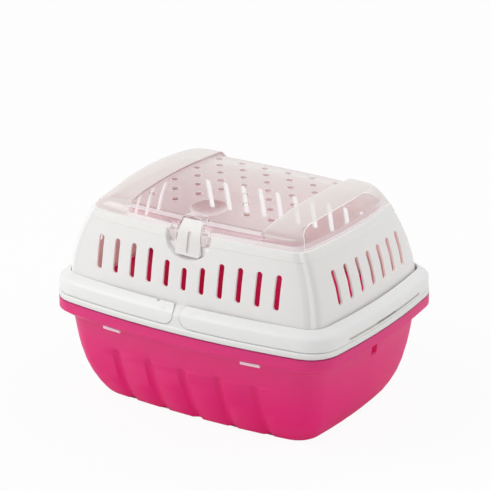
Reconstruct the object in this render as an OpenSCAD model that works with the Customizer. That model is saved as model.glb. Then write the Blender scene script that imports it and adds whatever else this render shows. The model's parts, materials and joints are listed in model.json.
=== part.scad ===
// Vented small-animal carrier: a deep tub, a domed hood with two folding handles,
// and a clear hinged roof with a rocker latch. Millimetres, +Z up.
// The origin is the centre of the underside of the tub. Heights in the modules are measured
// from the split plane, where the hood sits on the tub, and raised by tub_height at the end.

/* [Overall size] */
// Length over the rim, end to end
rim_length = 300; // [270:1:330]
// Width over the rim, front to back, at the middle
rim_width = 229.5; // [215:0.5:250]
// Height of the tub from the ground to the split plane
tub_height = 97; // [85:1:115]
// Height of the hood from the split plane to the seat of the roof
hood_height = 86.4; // [83:0.1:90]
// Height of the crest of the roof above its seat
lid_height = 18.6; // [17:0.1:20]

/* [Plan shape] */
// Rise of the bowed long sides at the rim
long_bow = 14.4; // [8:0.1:18]
// Rise of the bowed ends at the rim
end_bow = 9.8; // [5:0.1:13]
// Corner radius at the rim
rim_corner = 29.5; // [24:0.5:36]

/* [Walls] */
// Wall of the tub
tub_wall = 2; // [1.6:0.1:2.6]
// Floor of the tub
tub_floor = 2.4; // [1.8:0.1:4]
// Wall of the hood
hood_wall = 2; // [1.6:0.1:2.6]
// Wall of the roof
lid_wall = 1.8; // [1.4:0.1:2.4]
// Wall of the handles
handle_wall = 2.2; // [1.6:0.1:2.8]

/* [Tub] */
// Height of the upright band under the rim
band_height = 10.5; // [8:0.5:14]
// Height of the sloping ledge under the band
ledge_height = 6.5; // [5:0.5:9]
// How far the ledge steps in at the ends
end_ledge = 12.2; // [9:0.1:14]
// How far the ledge steps in at the front and back
long_ledge = 6.75; // [5.5:0.05:9]
// Even lean of the end walls over their height
end_lean = 12.1; // [6:0.1:16]
// Extra tuck of the end walls near the ground
end_tuck = 13; // [6:0.1:18]
// Even lean of the long walls over their height
long_lean = 13.5; // [8:0.1:18]
// Extra tuck of the long walls near the ground
long_tuck = 16.8; // [10:0.1:20]
// Number of flutes on each long wall
flute_count = 5; // [3:2:5]
// Spacing of the flutes
flute_pitch = 36.5; // [30:0.5:38]
// Width of a flute
flute_width = 11; // [7:0.5:14]
// Depth of a flute
flute_depth = 3; // [1:0.25:4]
// Distance from the split plane down to the round top of a flute
flute_top = 36.5; // [30:0.5:44]
// Side of the square hole in each end wall
end_hole = 9.5; // [6:0.5:12]
// Distance from the split plane down to the top of the square hole
end_hole_top = 21; // [19:0.5:26]
// Distance of each clip slot from the middle
clip_x = 73; // [60:1:85]
// Length of a clip slot
clip_length = 20; // [12:1:26]

/* [Hood] */
// Thickness of the flange that the handles lie on
flange = 5; // [4:0.1:5.2]
// Width of the shelf for the handles at the ends
end_shelf = 12.7; // [12:0.1:14]
// Width of the shelf for the handles at the front
front_shelf = 12.05; // [11:0.05:13]
// Extra width of the shelf at the back
back_extra = 2.4; // [0:0.1:4]
// Radius of the domed end walls, seen from the front
dome_radius = 135.3; // [130:0.1:170]
// Lean of the front wall at the seat of the roof
front_lean = 12.6; // [8:0.1:16]
// Lean of the back wall at the seat of the roof
back_lean = 18.1; // [12:0.1:20]
// How far the top band stands proud of the wall
top_band = 0.6; // [0.3:0.1:1]
// Width of the top band, down from the seat of the roof
top_band_width = 7.5; // [6:0.5:11]
// Width of a vent slot
slot_width = 5.7; // [4.5:0.1:7]
// Height of a vent slot
slot_height = 31; // [20:1:34]
// Height of the lower end of the slots above the split plane
slot_base = 35; // [32:1:38]
// Slots in each long wall
long_slots = 11; // [7:2:13]
// Spacing of the slots in the long walls
long_pitch = 18.5; // [15:0.5:18.5]
// Slots in each end wall
end_slots = 7; // [3:2:7]
// Spacing of the slots in the end walls
end_pitch = 18.4; // [14:0.2:18.4]

/* [Handles] */
// Distance of each handle's pivot from the middle
pivot_x = 14; // [13:0.5:17]
// Height of the pivots above the flange
pivot_rise = 10.9; // [10:0.1:11]
// Height of the handles
handle_height = 18; // [16:0.5:19]
// Diameter of the handle pins
pin_diameter = 7; // [5:0.5:8]
// Length of the groove in the grip
grip_groove = 124; // [90:2:140]
// Length of the open part of the groove
grip_window = 32; // [20:2:50]

/* [Roof] */
// Half the width of the sunken panel, side to side
panel_half = 69.5; // [66:0.5:75]
// Depth of the panel below the shoulders
panel_depth = 2.5; // [2:0.25:4]
// Radius of the arch of the roof, front to back
arch_radius = 540; // [480:5:700]
// Depth of the clear window in each end
window_depth = 0.6; // [0.3:0.1:0.8]
// Width of the rim along the foot and the top of the windows
window_edge = 1.4; // [1:0.1:2.5]
// Distance of the windows in from the front of the roof
window_front = 14; // [12:0.5:18]
// Distance of the windows in from the back of the roof
window_back = 20; // [14:0.5:24]
// Diameter of the ventilation holes
air_hole = 7; // [4:0.5:9]
// Spacing of the ventilation holes, side to side
air_pitch_x = 25; // [24:0.5:27]
// Spacing of the rows of holes, front to back
air_pitch_y = 18.35; // [17:0.05:18.5]
// Diameter of the roof's hinge pins
hinge_pin = 4; // [3:0.5:4.5]
// Distance of each hinge from the middle
hinge_x = 73; // [66:1:80]

/* [Latch] */
// Width of the latch at its lower end
latch_width = 25.4; // [20:0.2:27]
// Width of the latch at its upper end
latch_top_width = 20.6; // [16:0.2:24]
// Thickness of the latch
latch_wall = 2.2; // [1.8:0.1:2.8]
// How far the latch reaches below its pivot
latch_reach = 18; // [14:0.5:20]
// How far the latch stands above its pivot
latch_rise = 12.4; // [9:0.2:14]
// How far the foot of the latch stands out in front of its pivot
latch_out = 6.8; // [5:0.1:8]
// Diameter of the latch pins
latch_pin = 3; // [2:0.5:3]

/* [Fits] */
// Gap where one piece rests on another
seat_gap = 0.3; // [0.2:0.05:0.5]
// Side gap between moving pieces
side_gap = 0.5; // [0.4:0.05:0.8]
// Radial clearance of the pins in their bores
pin_gap = 0.08; // [0.04:0.01:0.1]

/* [Hidden] */
$fn = 32;
rim_a = rim_length / 2;
rim_b = rim_width / 2;
far = rim_length;

// ---- Outlines ----
// A plan outline is [a, bf, bb, long_rise, end_rise, corner]: half length, half widths to the
// front and the back, rises of the bowed sides and the corner radius.

// Radius of an arc with a given half chord and rise
function arc_radius(half, rise) = (half * half + rise * rise) / (2 * rise);

// Centre of the corner arc, which touches both bowed sides from inside
function corner_centre(a, b, rl, re, c) =
    let (p = rl - c, q = re - c, dx = re - a, dy = rl - b, d = norm([dx, dy]),
         s = (p * p - q * q + d * d) / (2 * d), n = sqrt(p * p - s * s))
    [-dx / d * s + dy / d * n, (b - rl) + dy / d * s + dx / d * n];

// One quarter of an outline, from the middle of the long side (0, b) to the middle of the end (a, 0).
// The long side passes through the given x values, then through side_steps more points.
function quarter(a, b, long_rise, end_rise, c, xs, side_steps, corner_steps, end_steps) =
    let (rl = arc_radius(a, long_rise), re = arc_radius(b, end_rise),
         m = corner_centre(a, b, rl, re, c),
         t1 = atan2(m.y - (b - rl), m.x), t2 = atan2(m.y, m.x - (a - re)),
         x1 = rl * cos(t1), x0 = xs[len(xs) - 1])
    concat([for (x = xs) [x, b - rl + sqrt(rl * rl - x * x)]],
           [for (i = [1:side_steps - 1]) let (x = x0 + (x1 - x0) * i / side_steps)
               [x, b - rl + sqrt(rl * rl - x * x)]],
           [for (i = [0:corner_steps - 1]) let (t = t1 + (t2 - t1) * i / corner_steps)
               m + c * [cos(t), sin(t)]],
           [for (i = [0:end_steps]) let (t = t2 * (1 - i / end_steps))
               [a - re + re * cos(t), re * sin(t)]]);

// A whole outline, from the middle of the front, round by the right, as a list of [x, y]
function outline(o, xs = [0], steps = [5, 5, 3]) =
    let (f = quarter(o[0], o[1], o[3], o[4], o[5], xs, steps[0], steps[1], steps[2]),
         r = quarter(o[0], o[2], o[3], o[4], o[5], xs, steps[0], steps[1], steps[2]),
         n = len(f))
    concat([for (i = [0:n - 1]) [f[i].x, -f[i].y]],
           [for (i = [n - 2:-1:0]) r[i]],
           [for (i = [1:n - 1]) [-r[i].x, r[i].y]],
           [for (i = [n - 2:-1:1]) [-f[i].x, -f[i].y]]);

// An outline moved inwards by d
function inset(o, d) = [o[0] - d, o[1] - d, o[2] - d, o[3], o[4], o[5] - d];

// How far the arched shoulders of the roof have dropped at y; they are flatter at the back
function shoulder_drop(y) = (y > 0 ? 0.75 : 1) * y * y / (2 * arch_radius);

// A ring of points at height h, which takes the share w of the drop of the arched shoulders
function ring(o, h, w = 0, xs = [0], steps = [5, 5, 3]) =
    [for (p = outline(o, xs, steps)) [p.x, p.y, h - w * shoulder_drop(p.y)]];

// ---- Lofts ----

// Side faces between rings that follow one another
function side_faces(n, m, closed) =
    [for (k = [0:(closed ? m - 1 : m - 2)]) for (i = [0:n - 1])
        let (j = (i + 1) % n, u = (k + 1) % m) each
            [[k * n + i, u * n + i, u * n + j], [k * n + i, u * n + j, k * n + j]]];

// A solid through rings, with a flat face at each end
module loft(rings) {
    n = len(rings[0]);
    m = len(rings);
    polyhedron([for (r = rings) each r],
        concat(side_faces(n, m, false), [[for (i = [0:n - 1]) i]],
               [[for (i = [n - 1:-1:0]) (m - 1) * n + i]]), convexity = 10);
}

// A hollow band through rings, the last joined to the first
module band(rings) {
    polyhedron([for (r = rings) each r], side_faces(len(rings[0]), len(rings), true), convexity = 10);
}

// A solid through rings, flat below and closed above by strips that follow the arch
module arched_loft(rings) {
    n = len(rings[0]);
    m = len(rings);
    top = (m - 1) * n;
    polyhedron([for (r = rings) each r],
        concat(side_faces(n, m, false), [[for (i = [0:n - 1]) i]],
            [for (i = [0:n / 2 - 1]) let (u = top + (n - i) % n, v = top + (n - i - 1)) each
                [if (u != top + i) [top + i, u, v], if (v != top + i + 1) [top + i, v, top + i + 1]]]),
        convexity = 10);
}

// ---- Tub ----
ledge_base = band_height + ledge_height;
wall_drop = tub_height - ledge_base;
flute_r = flute_width / 2;
flute_middle = (flute_count - 1) / 2;
flute_xs = concat([0, flute_r / 2, flute_r],
    [for (k = [1:flute_middle]) each [for (s = [-1, -0.5, 0, 0.5, 1]) k * flute_pitch + s * flute_r]]);
tub_steps = [2, 6, 3];

function share_down(h) = min(1, max(0, (-h - ledge_base) / wall_drop));
function tub_wall_outline(h) =
    let (t = share_down(h), a = rim_a - end_ledge - end_lean * t - end_tuck * pow(t, 4.6),
         b = rim_b - long_ledge - long_lean * t - long_tuck * pow(t, 2.6))
    [a, b, b, long_bow * (1 - 0.45 * t), end_bow * (1 - 0.45 * t), rim_corner * (0.95 - 0.23 * t)];
function rim_outline(d = 0) = inset([rim_a, rim_b, rim_b, long_bow, end_bow, rim_corner], d);

// Depth of the flutes at a place on the long walls
function flute(x, h) =
    let (k = min(flute_middle, round(abs(x) / flute_pitch)),
         d = norm([abs(x) - k * flute_pitch, max(0, h + flute_top + flute_r)]) / flute_r)
    flute_depth * max(0, 1 - d * d);
function tub_ring(o, h, z) =
    [for (p = ring(o, z, 0, flute_xs, tub_steps))
        [p.x, abs(p.y) > rim_b / 3 ? p.y - sign(p.y) * flute(p.x, h) : p.y, p.z]];

// Heights at which the walls are drawn, from the ground up
flute_rings = [for (s = [1, 0.65, 0.3, 0]) -flute_top - flute_r * s];
lower_rings = [for (s = [0.06, 0.15, 0.27, 0.42, 0.6]) -tub_height + s * (wall_drop)];
foot_round = [[0, 2.2], [0.7, 0.7], [2.4, 0.1]];

function outer_rings() = concat(
    [for (f = foot_round) let (h = -tub_height + f[0]) tub_ring(inset(tub_wall_outline(h), f[1]), h, h)],
    [for (h = concat(lower_rings, flute_rings, [-ledge_base - 1.2]))
        tub_ring(tub_wall_outline(h), h, h)]);
function inner_rings() = concat(
    [for (h = concat([-ledge_base - 0.5], [for (i = [3:-1:0]) flute_rings[i]],
        [for (i = [len(lower_rings) - 1:-1:0]) lower_rings[i]]))
        tub_ring(inset(tub_wall_outline(h), tub_wall), h, h)],
    [for (f = [[1.6, 0.3], [0.4, 1.3], [0, 2.6]]) let (h = -tub_height + tub_floor + f[0])
        tub_ring(inset(tub_wall_outline(h), tub_wall + f[1]), h, h)]);
function rim_rings() = [
    tub_ring(inset(tub_wall_outline(-ledge_base), -0.6), 0, -ledge_base),
    tub_ring(rim_outline(), 0, -band_height),
    tub_ring(rim_outline(), 0, -seat_gap),
    tub_ring(rim_outline(tub_wall), 0, -seat_gap),
    tub_ring(rim_outline(tub_wall), 0, -band_height + 0.9),
    tub_ring(inset(tub_wall_outline(-ledge_base), tub_wall - 0.6), 0, -ledge_base + 0.9)];

// Where the clips pass the ledge: distance in from the rim and slope of the bowed side there
clip_in = tub_wall + 2.4;
clip_wall = 2.2;
side_radius = arc_radius(rim_a, long_bow);
clip_slope = asin(clip_x / side_radius);
clip_y = rim_b - side_radius + sqrt(side_radius * side_radius - clip_x * clip_x) - clip_in;
module at_clips() {
    for (mx = [0, 1]) mirror([mx, 0, 0])
        for (my = [0, 1]) mirror([0, my, 0])
            translate([clip_x, clip_y, 0]) rotate([0, 0, -clip_slope]) children();
}

module base_tub() {
    color([0.86, 0.2, 0.45])
    translate([0, 0, tub_height])
    difference() {
        loft(concat(outer_rings(), rim_rings(), inner_rings()));
        for (s = [0, 1]) mirror([s, 0, 0])
            translate([rim_a - end_ledge - end_hole, -end_hole / 2, -end_hole_top - end_hole])
                cube([2 * end_hole, end_hole, end_hole]);
        at_clips()
            translate([-clip_length / 2, -clip_wall - side_gap, -ledge_base - 0.7])
                cube([clip_length, clip_wall + 2 * side_gap, ledge_base - 2]);
    }
}

// ---- Hood ----
wall_foot = 14;
foot_a = rim_a - end_shelf;
foot_bf = rim_b - front_shelf;
foot_bb = foot_bf - back_extra;
hood_rise = hood_height - wall_foot;
hood_end_bow = 7.2;

function up(h) = max(0, h - wall_foot);
function dome_outline(h) =
    let (t = up(h) / hood_rise)
    [foot_a - dome_radius + sqrt(dome_radius * dome_radius - up(h) * up(h)),
     foot_bf - front_lean * pow(t, 1.68), foot_bb - back_lean * pow(t, 1.21),
     long_bow * (0.76 - 0.1 * t), hood_end_bow, rim_corner * (0.58 - 0.1 * t)];

skirt_out = tub_wall + side_gap + 0.6;
skirt_in = skirt_out + 1.8;
upstand = 3.2;
lip_in = lid_wall + side_gap;
seat = hood_height - seat_gap;
band_foot = hood_height - top_band_width;
// Heights at which the wall is drawn, from its foot up
wall_hs = [for (t = [0, 0.14, 0.32, 0.52, 0.72]) wall_foot + hood_rise * t];
function hood_rings() = concat(
    [ring(rim_outline(0.1), 0), ring(rim_outline(0), flange - 0.9), ring(rim_outline(0.8), flange),
     ring(inset(dome_outline(flange), -1.2), flange),
     ring(inset(dome_outline(flange), -0.1), flange + 1.1)],
    [for (h = concat(wall_hs, [band_foot - 0.6])) ring(dome_outline(h), h)],
    [for (h = [band_foot, seat]) ring(inset(dome_outline(h), -top_band), h)],
    [for (z = [[seat, lip_in], [seat + upstand, lip_in + 0.6], [seat + upstand, lip_in + 2]])
        ring(inset(dome_outline(z[0]), z[1]), z[0])],
    [for (h = concat([band_foot], [for (i = [len(wall_hs) - 1:-1:0]) wall_hs[i]], [flange - 2.2]))
        ring(inset(dome_outline(h), hood_wall), h)],
    [ring(rim_outline(skirt_in), flange - 2.2), ring(rim_outline(skirt_in), 3.5 - band_height),
     ring(rim_outline(skirt_out + 0.4), 2.5 - band_height), ring(rim_outline(skirt_out), 3.5 - band_height),
     ring(rim_outline(skirt_out), 0)]);

// A slot's face, w wide and standing from low to high, with round ends
module slot_face(w, low, high) {
    for (z = [low + w / 2, high - w / 2]) translate([0, z]) circle(d = w);
    translate([-w / 2, low + w / 2]) square([w, high - low - w]);
}

// Stands a face drawn in x and height upright, from y = 0 to y = depth
module upright(depth) {
    translate([0, depth, 0]) rotate([90, 0, 0]) linear_extrude(depth) children();
}
// Stands a face drawn in y and height upright, from x = 0 to x = depth
module sideways(depth) {
    rotate([90, 0, 90]) linear_extrude(depth) children();
}

long_middle = (long_slots - 1) / 2;
end_middle = (end_slots - 1) / 2;
slot_top = slot_base + slot_height;
// The three slots under the latch are cut short, the middle one most
function front_slot_top(k) =
    slot_top - slot_height * (k == 0 ? 0.33 : abs(k) == 1 ? 0.22 : 0);
module vents() {
    for (k = [-long_middle:long_middle]) translate([k * long_pitch, 0, 0]) {
        translate([0, -far, 0]) upright(far - foot_bf / 2)
            slot_face(slot_width, slot_base, front_slot_top(k));
        translate([0, foot_bb / 2, 0]) upright(far) slot_face(slot_width, slot_base, slot_top);
    }
    for (k = [-end_middle:end_middle]) for (s = [0, 1]) mirror([s, 0, 0])
        translate([foot_a / 2, k * end_pitch, 0]) sideways(far) slot_face(slot_width, slot_base, slot_top);
}

// ---- Latch pocket ----
pocket_half = 23.5;
pocket_drop = 24.4;
step_drop = 12;
catch_drop = 3.8;
pocket_base = hood_height - pocket_drop;
pocket_step = hood_height - step_drop;
catch_h = pocket_step - catch_drop;
// Half widths to the front and the back at the seat of the roof
seat_front = foot_bf - front_lean;
seat_back = foot_bb - back_lean;
// The pocket's floor: y below the step, just above it, and at the seat of the roof
pocket_low_y = -seat_front + 1.5;
pocket_mid_y = -seat_front + 6.9;
pocket_high_y = -seat_front + 8.1;
module pocket_face(d) {
    rise = pocket_half * 0.8;
    polygon(concat([for (t = [180:15:360])
                       [(pocket_half - d) * cos(t), pocket_base + rise + (rise - d) * sin(t)]],
                   [[pocket_half - d, far / 2], [-pocket_half + d, far / 2]]));
}
// The floor's line, moved back by d, as y and height
function pocket_line(d) =
    [[pocket_low_y + d, pocket_base - 2 * hood_wall], [pocket_low_y + d, pocket_step - d],
     [pocket_mid_y + d, pocket_step + 0.8 - d], [pocket_high_y + d, hood_height]];
// The space in front of the floor
module pocket() {
    intersection() {
        translate([0, -far, 0]) upright(far) pocket_face(0);
        translate([-far / 2, 0, 0]) sideways(far)
            polygon(concat([[-far, pocket_base - 2 * hood_wall]], pocket_line(0),
                           [[pocket_high_y, far], [-far, far]]));
    }
}
// The wall round that space, from just inside the skin of the hood to behind the floor
module pocket_wall() {
    intersection() {
        translate([0, -far, 0]) upright(far) pocket_face(-hood_wall);
        translate([-far / 2, 0, 0]) sideways(far)
            polygon(concat([for (d = [seat_gap, for (t = [0.3, 0.65, 1, 1.27]) t * pocket_drop])
                               let (h = hood_height - d) [-dome_outline(h)[1] + hood_wall / 2, h]],
                           [for (i = [0:2]) pocket_line(hood_wall)[i]],
                           [[pocket_high_y + hood_wall, seat]]));
    }
}

// ---- Handle pivots ----
pivot_h = flange + pivot_rise;
handle_end_r = pivot_rise - 0.45;
handle_out = 1.9;
pin_tip = rim_b - handle_out - handle_wall - 1.2;
module turned(r, from, to) {
    translate([0, to, 0]) rotate([90, 0, 0]) cylinder(r = r, h = to - from);
}
module handle_pins() {
    for (x = [-pivot_x, pivot_x]) translate([x, 0, pivot_h]) {
        turned(pin_diameter / 2, -pin_tip, -foot_bf + 1);
        turned(pin_diameter / 2 + 1.5, -foot_bf - 1, -foot_bf + 1);
        turned(pin_diameter / 2, foot_bb - 1, pin_tip);
        turned(pin_diameter / 2 + 1.5, foot_bb - 1, foot_bb + 1);
    }
}
// The web between the ends of the handles follows their round ends
module handle_webs() {
    top = flange + handle_height;
    web_half = 5.4;
    for (s = [0, 1]) mirror([0, s, 0])
        intersection() {
            translate([0, -far, 0]) upright(far) difference() {
                translate([-pivot_x, flange - 1]) square([2 * pivot_x, top - flange + 0.5]);
                for (x = [-pivot_x, pivot_x]) {
                    translate([x, pivot_h]) circle(r = handle_end_r + side_gap, $fn = 64);
                    translate([x > 0 ? web_half : -pivot_x - 1, pivot_h])
                        square([pivot_x + 1 - web_half, handle_height]);
                }
            }
            translate([-pivot_x, 0, 0]) sideways(2 * pivot_x)
                polygon([[-foot_bb + 1, flange - 1], [-rim_b + handle_out + 0.3, flange - 1],
                         [-rim_b + handle_out + 0.3, top - 7.6], [-rim_b + 4, top - 5],
                         [-foot_bf - 2, top - 0.8], [-foot_bb + 1, top - 0.4]]);
        }
}

// ---- Roof hinge ----
hinge_h = hood_height;
knuckle_r = hinge_pin / 2 + 2.2;
knuckle_length = 16;
ear = 2.4;
// How far the bowed long side of the dome has come in at x
function bow_in(x) = let (r = arc_radius(foot_a, long_bow * 0.66)) r - sqrt(r * r - x * x);
// Middle of the back wall's thickness at x and height h
function back_wall_y(x, h) = dome_outline(h)[2] - bow_in(x) - hood_wall / 2;
hinge_y = back_wall_y(hinge_x - knuckle_length / 2, seat) + hood_wall / 2 + top_band + knuckle_r + side_gap;
module hinge_ears() {
    for (s = [0, 1]) mirror([s, 0, 0]) {
        for (x = [hinge_x - knuckle_length / 2 - side_gap - ear, hinge_x + knuckle_length / 2 + side_gap]) {
            translate([x, hinge_y, hinge_h]) rotate([0, 90, 0]) cylinder(r = knuckle_r, h = ear);
            translate([x, 0, 0]) sideways(ear)
                polygon([[hinge_y + knuckle_r, hinge_h], [hinge_y - knuckle_r, hinge_h],
                         [hinge_y - knuckle_r, seat - 0.4], [back_wall_y(x, seat), seat - 0.4],
                         [back_wall_y(x, seat - 7), seat - 7], [back_wall_y(x, seat - 14), seat - 14],
                         [hinge_y + knuckle_r - 2, hinge_h - 6]]);
        }
        translate([hinge_x - knuckle_length / 2 - side_gap - ear / 2, hinge_y, hinge_h]) rotate([0, 90, 0])
            cylinder(d = hinge_pin, h = knuckle_length + 2 * side_gap + ear);
    }
}

module clips() {
    at_clips()
        translate([-clip_length / 2 + side_gap, -clip_wall, 0])
            sideways(clip_length - 2 * side_gap)
                polygon([[0, flange - 1.5], [0, -ledge_base + 1], [0.5, -ledge_base - 0.4],
                         [clip_wall - 0.5, -ledge_base - 0.4], [clip_wall, -ledge_base + 1],
                         [clip_wall, flange - 1.5]]);
}

module hood() {
    color([0.93, 0.93, 0.92])
    translate([0, 0, tub_height]) {
        difference() {
            union() {
                band(hood_rings());
                pocket_wall();
                handle_pins();
                handle_webs();
                hinge_ears();
                clips();
            }
            vents();
            pocket();
        }
        // The catch across the floor of the pocket
        tip = pocket_low_y - catch_reach;
        translate([-latch_width / 4, 0, 0]) sideways(latch_width / 2)
            polygon([[pocket_low_y + 1, catch_h + 1.6], [tip, catch_h + 1], [tip, catch_h],
                     [pocket_low_y + 1, catch_h - 0.4]]);
    }
}

// ---- Roof ----
crest = hood_height + lid_height;
// Rings of the roof: share of its height, share of the arch, and insets at the ends, the front and the back
lid_rings = [[0, 0, 0, 0, 0], [0.3, 0.15, 0, 0, 0], [0.52, 0.42, 0, 0.3, 0],
             [0.7, 0.7, 0.1, 1.2, 0.2], [0.83, 0.88, 0.3, 3, 0.7], [0.935, 0.96, 0.9, 6.5, 1.8],
             [0.98, 1, 3, 11, 3.4], [1, 1, 16.5, 16, 6]];
function lid_outline(v, d) =
    let (o = dome_outline(hood_height + v[0] * lid_height))
    [o[0] - v[2] - d, o[1] - v[3] - d, o[2] - v[4] - d,
     o[3] * (1 - v[1] * 0.25), o[4], o[5] - d + v[3] / 6];
// The roof's outer form, or the form d inside it
module lid_form(d) {
    arched_loft(concat(
        [let (h = hood_height - (d > 0 ? 1 : 0)) ring(inset(dome_outline(h), d), h)],
        [for (i = [1:len(lid_rings) - 1]) let (v = lid_rings[i])
            ring(lid_outline(v, d * (1 - 0.35 * v[1])),
                 hood_height + v[0] * lid_height - d * v[1], v[1])]));
}

// The clear window in each end is a shallow recess that follows the edges of the end face:
// its outline from the side, from the front foot up over the arch and down to the back foot
window_h = hood_height + window_edge;
function window_top(y) = crest - window_edge - shoulder_drop(y);
module window_face() {
    f = -seat_front + window_front;
    b = seat_back - window_back;
    polygon(concat(
        [[f, window_h], [f + 3.8, window_h + 4], [f + 10, window_h + 9], [f + 15, window_h + 11.2]],
        [for (i = [0:6]) let (y = f + 24 + (b - f - 46) * i / 6) [y, window_top(y)]],
        [[b - 16, window_h + 12.4], [b - 9, window_h + 7.8], [b, window_h]]));
}
module window_recesses() {
    for (s = [0, 1]) mirror([s, 0, 0]) difference() {
        translate([panel_half + 2 * lid_wall, 0, 0]) sideways(far) window_face();
        lid_form(window_depth);
    }
}

// The sunken panel and its steps, seen from the side, as [y, height] from front to back
panel_h = crest - panel_depth;
// Height of the rails along the front and the back, and of the ledges between them and the panel
rail_h = panel_h - 9.7;
ledge_h = panel_h - 7.9;
// Distance of the panel's edges in from the seat of the roof
panel_in = 12.5;
function arch(y) = -y * y / (2 * arch_radius);
// One end of the line, from the rail up to the panel, as [distance in from the seat, height]
panel_step = [[3.1, rail_h], [4.3, ledge_h], [panel_in - 2, ledge_h + 0.9]];
function panel_line() = concat(
    [[-2 * seat_front, rail_h - 0.2]],
    [for (v = panel_step) [-seat_front + v[0], v[1]]],
    [for (i = [0:10]) let (y = -seat_front + panel_in + (seat_front + seat_back - 2 * panel_in) * i / 10)
        [y, panel_h + arch(y)]],
    [for (i = [2:-1:0]) [seat_back - panel_step[i][0], panel_step[i][1]]],
    [[2 * seat_back, rail_h - 0.2]]);
// A line moved down and into the roof by d, kept square to its own slope
function shifted(line, d) =
    [for (i = [0:len(line) - 1])
        let (p = line[max(0, i - 1)], q = line[min(len(line) - 1, i + 1)], m = line[i],
             u = (m - p) / max(0.001, norm(m - p)), v = (q - m) / max(0.001, norm(q - m)),
             w = i == 0 ? v : i == len(line) - 1 ? u : (u + v) / norm(u + v), n = [w.y, -w.x],
             c = max(0.6, i == 0 ? 1 : n * [v.y, -v.x]))
        m + n * (d / c)];
// The space above the panel, deepened by d
module panel_space(d) {
    line = shifted(panel_line(), d);
    stations = [for (i = [-5:5]) i / 5 * (panel_half + 2 * lid_wall + 1)];
    n = len(line) + 2;
    m = len(stations);
    pts = [for (x = stations) each concat(
        [for (p = line) [x, p.x - sign(p.x) * min(1, abs(p.x) / seat_back) * bow_in(x), p.y]],
        [[x, 2 * seat_back, far], [x, -2 * seat_front, far]])];
    intersection() {
        polyhedron(pts, concat(side_faces(n, m, false), [[for (i = [0:n - 1]) i]],
            [[for (i = [n - 1:-1:0]) (m - 1) * n + i]]), convexity = 6);
        translate([0, -far, 0]) upright(2 * far) panel_face(d);
    }
}
panel_corner = 8;
module panel_face(d) {
    low = rail_h - d;
    half = panel_half + d;
    r = panel_corner + d;
    polygon(concat([for (t = [180:15:270]) [-half + r + r * cos(t), low + r + r * sin(t)]],
        [for (t = [270:15:360]) [half - r + r * cos(t), low + r + r * sin(t)]],
        [[half, far / 2], [-half, far / 2]]));
}

// ---- Ventilation holes: staggered rows, with none in the finger scoop ----
scoop_r = 17;
scoop_depth = 5;
scoop_in = 20;
scoop_y = -seat_front + panel_in + scoop_in;
scoop_ball = (scoop_r * scoop_r + scoop_depth * scoop_depth) / (2 * scoop_depth);
module air_holes() {
    for (row = [-3:3]) for (k = [-3:2]) {
        x = (k + (row % 2 == 0 ? 1 : 0.5)) * air_pitch_x;
        y = row * air_pitch_y;
        if (abs(x) < 2.6 * air_pitch_x && norm([x, y - scoop_y]) > scoop_r + air_hole)
            translate([x, y, panel_h - 8]) cylinder(d = air_hole, h = 12);
    }
}
// The finger scoop lies square to the arch of the panel
module at_scoop() {
    translate([0, scoop_y, panel_h + arch(scoop_y)])
        rotate([-asin(scoop_y / arch_radius), 0, 0]) children();
}

// ---- Latch and its mounting in the roof ----
latch_y = -seat_front + 2.9;
latch_h = hood_height - 2.4;
latch_half = latch_width / 2;
// The round-headed opening for the latch: height of its centre, rise of its rim and where it ends
arch_h = latch_h + 6;
arch_rise = 10.3;
cut_back = -seat_front + panel_in + 1.3;
module arch_face(half, rise, low) {
    polygon(concat([for (t = [0:15:180]) [half * cos(t), arch_h + rise * sin(t)]],
        [[-half, low], [half, low]]));
}
module latch_ears() {
    low = latch_h - 8;
    high = latch_h + 6.4;
    for (s = [0, 1]) mirror([s, 0, 0]) difference() {
        intersection() {
            translate([0, -far, 0]) upright(far)
                translate([latch_half, 0])
                    polygon([[side_gap, high], [8, high], [7.6, latch_h + 1], [6, latch_h - 3.5],
                             [3.8, low + 1], [2.2, low], [side_gap, low]]);
            sideways(2 * latch_width)
                translate([latch_y, 0])
                    polygon([[-1.7, high], [-2.7, latch_h + 4.5], [-3.4, latch_h - 3],
                             [-3, low - 1], [2.6, low - 1], [2.8, high]]);
        }
        translate([0, latch_y, latch_h]) rotate([0, 90, 0])
            cylinder(r = latch_pin / 2 + pin_gap, h = latch_half + 4.4);
    }
}

// A knuckle that clips on a hinge pin, its mouth downwards, with an arm to the back of the roof
module knuckle() {
    arm_y = back_wall_y(hinge_x + knuckle_length / 2, seat) + 0.2;
    translate([hinge_x - knuckle_length / 2, 0, 0]) difference() {
        union() {
            translate([0, hinge_y, hinge_h]) rotate([0, 90, 0])
                cylinder(r = knuckle_r, h = knuckle_length);
            sideways(knuckle_length)
                polygon([[arm_y, hood_height + 0.3], [hinge_y, hood_height + 0.3],
                         [hinge_y, hinge_h + knuckle_r - 0.4], [arm_y, hood_height + 4.6]]);
        }
        translate([-1, hinge_y, hinge_h]) rotate([0, 90, 0])
            cylinder(r = hinge_pin / 2 + pin_gap, h = knuckle_length + 2);
        translate([-1, hinge_y - hinge_pin * 0.42, hinge_h - 2 * knuckle_r])
            cube([knuckle_length + 2, hinge_pin * 0.84, 2 * knuckle_r]);
    }
}

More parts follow.
